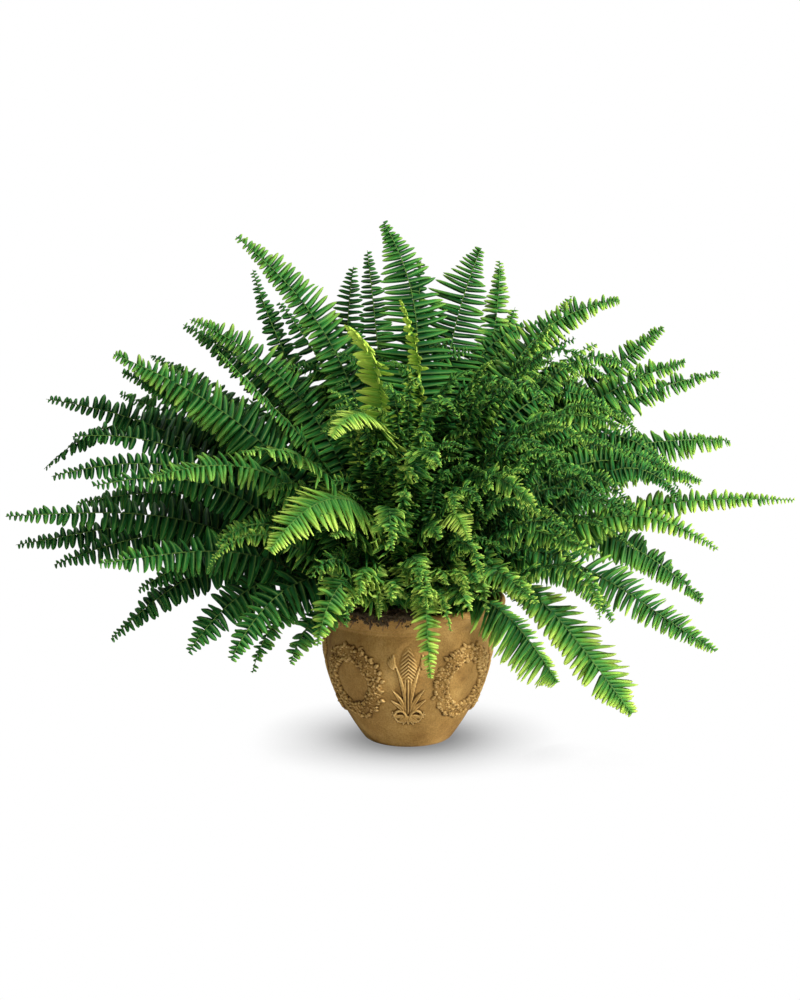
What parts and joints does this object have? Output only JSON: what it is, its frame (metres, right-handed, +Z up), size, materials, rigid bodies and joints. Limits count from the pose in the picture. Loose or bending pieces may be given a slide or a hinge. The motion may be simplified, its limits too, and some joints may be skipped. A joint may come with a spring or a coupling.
{
  "type": "potted fern",
  "caption": "Bushy fern whose arching fronds spread from dark soil in a round stoneware pot with a flared rim and a belly ornamented with wreaths and leaf plumes.",
  "frame": {"origin": "middle of the pot's flat underside, on its axis", "axes": "+Z up along the pot's axis, +X to the right along the plant's widest spread, -Y to the viewer of the picture"},
  "size_m": [0.8331, 0.594, 0.5501],
  "materials": {
    "stoneware": "matte tan with golden-brown mottling, darker in the hollows",
    "earth": "rough dark brown peat and bark",
    "leaf_fresh": "satin yellow-green leaf",
    "leaf_deep": "satin deep green leaf"
  },
  "bodies": {
    "root": {"frond_back_high_01": "leaf_deep", "frond_back_high_02": "leaf_deep", "frond_back_high_03": "leaf_deep", "frond_back_high_04": "leaf_deep", "frond_back_high_05": "leaf_deep", "frond_back_low_01": "leaf_deep", "frond_back_low_02": "leaf_deep", "frond_back_low_03": "leaf_deep", "frond_back_low_04": "leaf_deep", "frond_back_low_05": "leaf_deep", "frond_front_01": "leaf_fresh", "frond_front_02": "leaf_fresh", "frond_front_03": "leaf_fresh", "frond_front_04": "leaf_fresh", "frond_front_05": "leaf_fresh", "frond_front_06": "leaf_fresh", "frond_front_07": "leaf_fresh", "frond_front_08": "leaf_fresh", "frond_front_09": "leaf_fresh", "frond_front_10": "leaf_fresh", "frond_front_11": "leaf_fresh", "frond_front_12": "leaf_fresh", "frond_front_13": "leaf_fresh", "frond_front_14": "leaf_fresh", "frond_front_15": "leaf_fresh", "frond_left_01": "leaf_deep", "frond_left_02": "leaf_deep", "frond_left_03": "leaf_deep", "frond_left_04": "leaf_deep", "frond_left_05": "leaf_deep", "frond_left_06": "leaf_deep", "frond_left_07": "leaf_deep", "frond_left_08": "leaf_deep", "frond_left_09": "leaf_deep", "frond_left_10": "leaf_deep", "frond_left_11": "leaf_deep", "frond_left_12": "leaf_deep", "frond_left_13": "leaf_deep", "frond_left_14": "leaf_deep", "frond_left_15": "leaf_deep", "frond_right_01": "leaf_fresh", "frond_right_02": "leaf_fresh", "frond_right_03": "leaf_fresh", "frond_right_04": "leaf_fresh", "frond_right_05": "leaf_fresh", "frond_right_06": "leaf_fresh", "frond_right_07": "leaf_fresh", "frond_right_08": "leaf_fresh", "frond_right_09": "leaf_fresh", "frond_top_01": "leaf_deep", "frond_top_02": "leaf_deep", "frond_top_03": "leaf_deep", "frond_top_04": "leaf_deep", "frond_top_05": "leaf_deep", "frond_top_06": "leaf_deep", "pot": "stoneware", "soil": "earth"}
  },
  "joints": []
}
